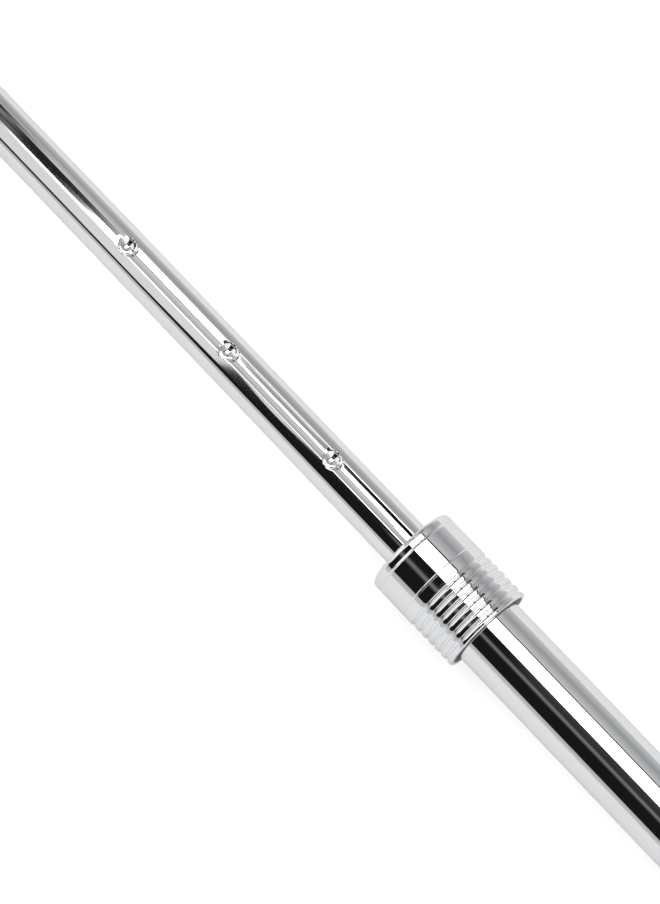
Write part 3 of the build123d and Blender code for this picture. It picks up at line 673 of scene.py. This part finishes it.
# %% Spinning an outline
TURNED_STEPS, COLLAR_STEPS, REAR_STEPS, COVERED_STEPS = 160, 192, 128, 96  # round the shaft
CORNER_STEPS = 5


def rounded(before, corner, after, radius):
    """The points of an arc that rounds a corner between two neighbours."""
    before, corner, after = Vector(before), Vector(corner), Vector(after)
    back_way, on_way = (before - corner).normalized(), (after - corner).normalized()
    half = back_way.angle(on_way) / 2
    reach = radius / math.tan(half)
    centre = corner + (back_way + on_way).normalized() * (radius / math.sin(half))
    start, end = corner + back_way * reach - centre, corner + on_way * reach - centre
    sweep = start.angle_signed(end)
    turns = [Matrix.Rotation(-sweep * n / CORNER_STEPS, 2) for n in range(CORNER_STEPS + 1)]
    return [tuple(centre + turn @ start) for turn in turns]


def soft_outline(corners):
    """An outline from (station, radius, rounding) corners; a rounding of 0 leaves a point."""
    points = []
    for n, (station, radius, rounding) in enumerate(corners):
        before, after = corners[n - 1][:2], corners[(n + 1) % len(corners)][:2]
        if rounding:
            points += rounded(before, (station, radius), after, rounding)
        else:
            points.append((station, radius))
    return points


SUPPORT, MOST_SHARE = 0.12, 0.25  # millimetres from a corner, and the most of a run that may be


def supported(outline):
    """Adds a ring near both ends of each straight run, so that smooth shading stays straight along it."""
    points = []
    for before, after in zip(outline, outline[1:] + outline[:1]):
        points.append(before)
        share = SUPPORT / math.dist(before, after)
        if share < MOST_SHARE:
            points += [tuple(Vector(before).lerp(Vector(after), t)) for t in (share, 1 - share)]
    return points


def spun(name, outline, steps=TURNED_STEPS):
    """Spins a closed outline of (station, radius) millimetres about the shaft."""
    made = bmesh.new()
    rings = []
    angles = [2 * math.pi * n / steps for n in range(steps)]
    for station, radius in supported(outline):
        x, r = LOCK_X + station * MM, radius * MM
        rings.append([made.verts.new((x, r * math.sin(a), AXIS_Z + r * math.cos(a))) for a in angles])
    for ring, beside in zip(rings, rings[1:] + rings[:1]):
        for n in range(steps):
            m = (n + 1) % steps
            made.faces.new((ring[n], ring[m], beside[m], beside[n]))
    mesh = bpy.data.meshes.new(name)
    made.to_mesh(mesh)
    made.free()
    return mesh_object(name, mesh)


# %% The outer tube
TUBE_WALL, TUBE_EDGE = 0.8, 0.2
outer_r = OUTER_R / MM
tube_back, tube_front = (end[0] / MM - LOCK_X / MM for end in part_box("outer_tube"))
outer_tube = spun("drawn_outer_tube", soft_outline([
    (tube_back, outer_r, TUBE_EDGE), (tube_front, outer_r, TUBE_EDGE),
    (tube_front, outer_r - TUBE_WALL, TUBE_EDGE), (tube_back, outer_r - TUBE_WALL, TUBE_EDGE),
]))
settle(outer_tube, "outer_tube")

# %% [markdown]
# ## The lock collar
#
# The collar is the part a hand works, so its outline matters most: a rounded nose, a fine line where
# the nose ring is pressed in, a plain band, a second line, and six finger ribs. The ribs repeat, so a
# loop draws a crowned crest and a round valley for each.

# %% The collar's outline
collar_r = COLLAR_R / MM
COLLAR_BACK, NOSE_SEAM, NOSE_FRONT = -18.1, 7.1, 9.8
BAND_LINE, FIRST_VALLEY = -1.3, -4.8
RIB_COUNT, RIB_PITCH, VALLEY_WIDTH = 6, 2.3, 0.95
RIB_EDGE, RIB_VALLEY = collar_r - 0.13, collar_r - 0.6
LINE_DEPTH, LINE_HALF = 0.22, 0.32
BORE_RADIUS, LAND_BACK, LAND_RADIUS = 10.9, -3.5, 9.9
RAMP_END, RECESS_RADIUS = 4.9, 10.94
REAR_SEAT_RADIUS, REAR_SEAT_FRONT = 11.3, -15.25
NOSE_ROUND = 1.1
NOSE_BORE = INNER_R / MM + 0.3
ARC_STEPS = 8
VALLEY_POWER = 0.8  # under 1, which makes a valley's floor rounder and its sides steeper
LINE_ROUND, FLOOR_ROUND, FLOOR_SHARE = 0.08, 0.03, 0.25


def crest(start, end):
    """The crowned top of a rib or a plain band's rounded shoulder, from one station to another."""
    share = [n / ARC_STEPS for n in range(ARC_STEPS + 1)]
    crown = collar_r - RIB_EDGE
    return [(start + (end - start) * s, RIB_EDGE + crown * math.sin(math.pi * s)) for s in share]


def valley(middle_station):
    """A round-bottomed valley, from its front edge to its back edge."""
    angles = [math.pi * n / ARC_STEPS for n in range(1, ARC_STEPS)]
    half, depth = VALLEY_WIDTH / 2, RIB_EDGE - RIB_VALLEY
    stations = [middle_station + half * math.cos(a) for a in angles]
    return [(x, RIB_EDGE - depth * math.sin(a) ** VALLEY_POWER) for x, a in zip(stations, angles)]


def score_line(station):
    """A fine V with a rounded floor, from front to back."""
    foot, floor_r = LINE_HALF * FLOOR_SHARE, collar_r - LINE_DEPTH
    return [
        (station + LINE_HALF, collar_r, LINE_ROUND), (station + foot, floor_r, FLOOR_ROUND),
        (station - foot, floor_r, FLOOR_ROUND), (station - LINE_HALF, collar_r, LINE_ROUND),
    ]


# from the seam back along the outside, then forward along the bore
front_shoulder = FIRST_VALLEY + RIB_PITCH / 2
outside_line = [(NOSE_SEAM, collar_r - LINE_DEPTH, 0)]
outside_line.append((NOSE_SEAM - LINE_HALF, collar_r, LINE_ROUND))
outside_line += score_line(BAND_LINE)
outline = soft_outline([(NOSE_SEAM, RECESS_RADIUS, 0), *outside_line, (front_shoulder, collar_r, 0)])[:-1]
half_rib = (RIB_PITCH - VALLEY_WIDTH) / 2
half_crest = crest(front_shoulder + half_rib, front_shoulder - half_rib)
outline += half_crest[ARC_STEPS // 2:]
for n in range(RIB_COUNT):
    at = FIRST_VALLEY - n * RIB_PITCH
    outline += valley(at)
    behind = crest(at - VALLEY_WIDTH / 2, at - RIB_PITCH + VALLEY_WIDTH / 2)
    outline += behind if n < RIB_COUNT - 1 else behind[: ARC_STEPS // 2 + 1]
last_crest = FIRST_VALLEY - (RIB_COUNT - 0.5) * RIB_PITCH
rear = soft_outline([
    (last_crest, collar_r, 0), (COLLAR_BACK, collar_r, 0.4), (COLLAR_BACK, REAR_SEAT_RADIUS, 0.1),
    (REAR_SEAT_FRONT, REAR_SEAT_RADIUS, 0), (REAR_SEAT_FRONT, BORE_RADIUS, 0), (LAND_BACK, BORE_RADIUS, 0),
    (LAND_BACK, LAND_RADIUS, 0), (0, LAND_RADIUS, 0), (RAMP_END, RECESS_RADIUS, 0),
])
outline += rear[1:]
print(len(outline), "points round the collar's outline")
settle(spun("ribbed_collar", outline, COLLAR_STEPS), "release_collar")

# %% The nose ring and the two wiper rings
WIPER_FRONT, WIPER_BACK, WIPER_RADIUS = NOSE_FRONT - 0.4, NOSE_FRONT - 1.3, 7.6
SPIGOT_BACK, SPIGOT_BORE, NOSE_INSIDE = NOSE_SEAM - 0.9, RECESS_RADIUS - 0.7, NOSE_FRONT - 1.6
nose_ring = spun("nose_ring_turned", soft_outline([
    (NOSE_SEAM, collar_r - LINE_DEPTH, 0), (NOSE_SEAM + LINE_HALF, collar_r, LINE_ROUND),
    (NOSE_FRONT, collar_r, NOSE_ROUND),
    (NOSE_FRONT, NOSE_BORE, 0.15), (WIPER_FRONT, NOSE_BORE, 0), (WIPER_FRONT, WIPER_RADIUS, 0),
    (WIPER_BACK, WIPER_RADIUS, 0), (WIPER_BACK, NOSE_BORE, 0), (NOSE_INSIDE, NOSE_BORE, 0),
    (NOSE_INSIDE, SPIGOT_BORE, 0.2), (SPIGOT_BACK, SPIGOT_BORE, 0.1), (SPIGOT_BACK, RECESS_RADIUS, 0.1),
    (NOSE_SEAM, RECESS_RADIUS, 0),
]), COLLAR_STEPS)
settle(nose_ring, "nose_ring")

RUNNING, REAR_INSET = 0.1, 0.15
nose_wiper = spun("nose_wiper_lip", soft_outline([
    (WIPER_BACK, WIPER_RADIUS, 0), (WIPER_FRONT, WIPER_RADIUS, 0),
    (WIPER_FRONT, INNER_R / MM + RUNNING, 0.2), (WIPER_BACK, INNER_R / MM + RUNNING, 0.2),
]), COVERED_STEPS)
settle(nose_wiper, "nose_wiper")

rear_wiper = spun("rear_wiper_ring", soft_outline([
    (COLLAR_BACK + REAR_INSET, REAR_SEAT_RADIUS, 0.12), (REAR_SEAT_FRONT, REAR_SEAT_RADIUS, 0),
    (REAR_SEAT_FRONT, outer_r + RUNNING, 0.1), (COLLAR_BACK + REAR_INSET, outer_r + RUNNING, 0.45),
]), REAR_STEPS)
settle(rear_wiper, "rear_wiper")

# %% [markdown]
# ## The grip
#
# The grip is a moulded rubber sleeve that tapers towards the collar. Its pattern is one small raised
# diamond repeated in staggered rows, which is what Geometry Nodes do best: a grid gives the points,
# and each point gets a diamond turned to face away from the shaft. Plain bands are left at the ends.

# %% The sleeve under the pattern
grip_low, grip_high = (end[0] / MM - LOCK_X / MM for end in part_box("grip"))
GRIP_BACK_R, GRIP_FRONT_R = radius_of("grip") / MM, 12.0
STUD_HEIGHT = 0.55
BAND_LENGTH, BAND_SUNK, BAND_STEP = 9.0, 0.05, 0.8


def grip_radius(station):
    share = (station - grip_low) / (grip_high - grip_low)
    return GRIP_BACK_R + (GRIP_FRONT_R - GRIP_BACK_R) * share


def grip_corner(station, sunk, rounding):
    return station, grip_radius(station) - sunk, rounding


sleeve = spun("rubber_grip_sleeve", soft_outline([
    grip_corner(grip_low, BAND_SUNK, 0.4),
    grip_corner(grip_low + BAND_LENGTH, BAND_SUNK, 0.4),
    grip_corner(grip_low + BAND_LENGTH + BAND_STEP, STUD_HEIGHT, 0.4),
    grip_corner(grip_high - BAND_LENGTH - BAND_STEP, STUD_HEIGHT, 0.4),
    grip_corner(grip_high - BAND_LENGTH, BAND_SUNK, 0.4),
    grip_corner(grip_high, BAND_SUNK, 0.6),
    (grip_high, outer_r, 0.1), (grip_low, outer_r, 0.1),
]), COVERED_STEPS)
print(f"the grip is {grip_high - grip_low:.0f} mm long")

# %% The diamonds' sizes
STUDS_ROUND, STUD_PITCH = 18, 3.4
STUD_LONG, STUD_WIDE, STUD_TOP = 2.9, 1.75, 0.62  # half sizes, and the top's share of the base
END_GAP = 2.0
stud_rows = int((grip_high - grip_low - 2 * BAND_LENGTH - 2 * END_GAP) / STUD_PITCH)
first_row = (grip_low + grip_high - (stud_rows - 1) * STUD_PITCH) / 2

grip_sizes = {
    "First row": LOCK_X + first_row * MM,
    "Row pitch": STUD_PITCH * MM,
    "Back radius": (grip_radius(first_row) - STUD_HEIGHT) * MM,
    "Taper": (GRIP_FRONT_R - GRIP_BACK_R) / (grip_high - grip_low),
    "Stud height": STUD_HEIGHT * MM,
    "Axis height": AXIS_Z,
}
print(stud_rows, "rows of", STUDS_ROUND, "diamonds")

# %% A point for each diamond
grip_tree, grip_keys = new_geometry_tree("studded_grip", grip_sizes)
g = Tree(grip_tree)
size_node = g.node("NodeGroupInput")
size = {name: Value(g, size_node.outputs[name]) for name in grip_sizes}
grid = g.node("GeometryNodeMeshGrid", inputs={"Vertices X": stud_rows, "Vertices Y": STUDS_ROUND})
u, v, _ = g.split(grid.outputs["UV Map"])
row, column = (u * (stud_rows - 1)).do("ROUND"), (v * (STUDS_ROUND - 1)).do("ROUND")
angle = (column + row.do("FLOORED_MODULO", 2) * 0.5) * (2 * math.pi / STUDS_ROUND)
radius = size["Back radius"] + row * size["Row pitch"] * size["Taper"]
place = g.xyz(
    size["First row"] + row * size["Row pitch"],
    -(angle.do("SINE") * radius),
    angle.do("COSINE") * radius + size["Axis height"],
)
points = g.node("GeometryNodeSetPosition", inputs={"Geometry": grid.outputs["Mesh"], "Position": place})
print("a point for each of", stud_rows * STUDS_ROUND)

# %% A diamond on each point
stud = g.node("GeometryNodeMeshCone", {"fill_type": "NGON"}, {
    "Vertices": 4, "Radius Top": STUD_TOP * MM, "Radius Bottom": 1.0 * MM, "Depth": size["Stud height"] * 2,
})
shaped = g.node("GeometryNodeTransform", inputs={
    "Geometry": stud.outputs["Mesh"], "Translation": g.xyz(0, 0, -size["Stud height"]),
    "Scale": (STUD_LONG, STUD_WIDE, 1.0),
})
placed = g.node("GeometryNodeInstanceOnPoints", inputs={
    "Points": points.outputs[0], "Instance": shaped.outputs[0], "Rotation": g.xyz(angle, 0, 0),
})
real = g.node("GeometryNodeRealizeInstances", inputs={"Geometry": placed.outputs[0]})
joined = g.node("GeometryNodeJoinGeometry", inputs={"Geometry": size_node.outputs["Geometry"]})
g.links.new(real.outputs[0], joined.inputs[0])
painted = g.node("GeometryNodeSetMaterial", inputs={
    "Geometry": joined.outputs[0], "Material": materials["grip_rubber"],
})
g.node("NodeGroupOutput", inputs={"Geometry": painted.outputs[0]})
rubber_grip = run_tree("rubber_grip", grip_tree, grip_keys, grip_sizes, sleeve.data)
bpy.data.objects.remove(sleeve)
settle(rubber_grip, "grip")

# %% [markdown]
# ## Moulded and machined pieces
#
# The cap, the scoop, the latch and the rest already have the right shape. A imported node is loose
# triangles, so a copy of it is merged, its flat faces are joined up again, and a small bevel breaks
# the edges that a mould would leave soft. The copy then stands in for the node.

# %% Copies with soft edges
FLAT = math.radians(0.6)
EDGE = math.radians(40)
SAME_POINT = 1e-6
SOFT_EDGES = {
    "grip_cap": 0.5, "grip_ring": 0.15, "ferrule": 0.25, "scoop_cup": 0.35, "latch": 0.25,
    "neck_rivet": 0.12, "latch_pin": 0.12,
}


def softened(node, width):
    """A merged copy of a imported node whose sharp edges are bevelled, width in millimetres."""
    source = frame["nodes"][node]
    made = bmesh.new()
    made.from_mesh(source.data)
    bmesh.ops.remove_doubles(made, verts=made.verts, dist=SAME_POINT)
    bmesh.ops.dissolve_limit(made, angle_limit=FLAT, verts=made.verts, edges=made.edges)
    mesh = bpy.data.meshes.new("soft_" + node)
    made.to_mesh(mesh)
    made.free()
    piece = mesh_object("soft_" + node, mesh)
    bevel = piece.modifiers.new("soft_edges", "BEVEL")
    bevel.width, bevel.segments = width * MM, 2
    bevel.limit_method, bevel.angle_limit = "ANGLE", EDGE
    bevel.use_clamp_overlap = True
    evaluated = piece.evaluated_get(bpy.context.evaluated_depsgraph_get())
    finished = bpy.data.meshes.new_from_object(evaluated)
    piece.modifiers.clear()
    piece.data = finished
    piece.data.materials.clear()
    settle(piece, node, recalculate=False)


for node, width in SOFT_EDGES.items():
    softened(node, width)
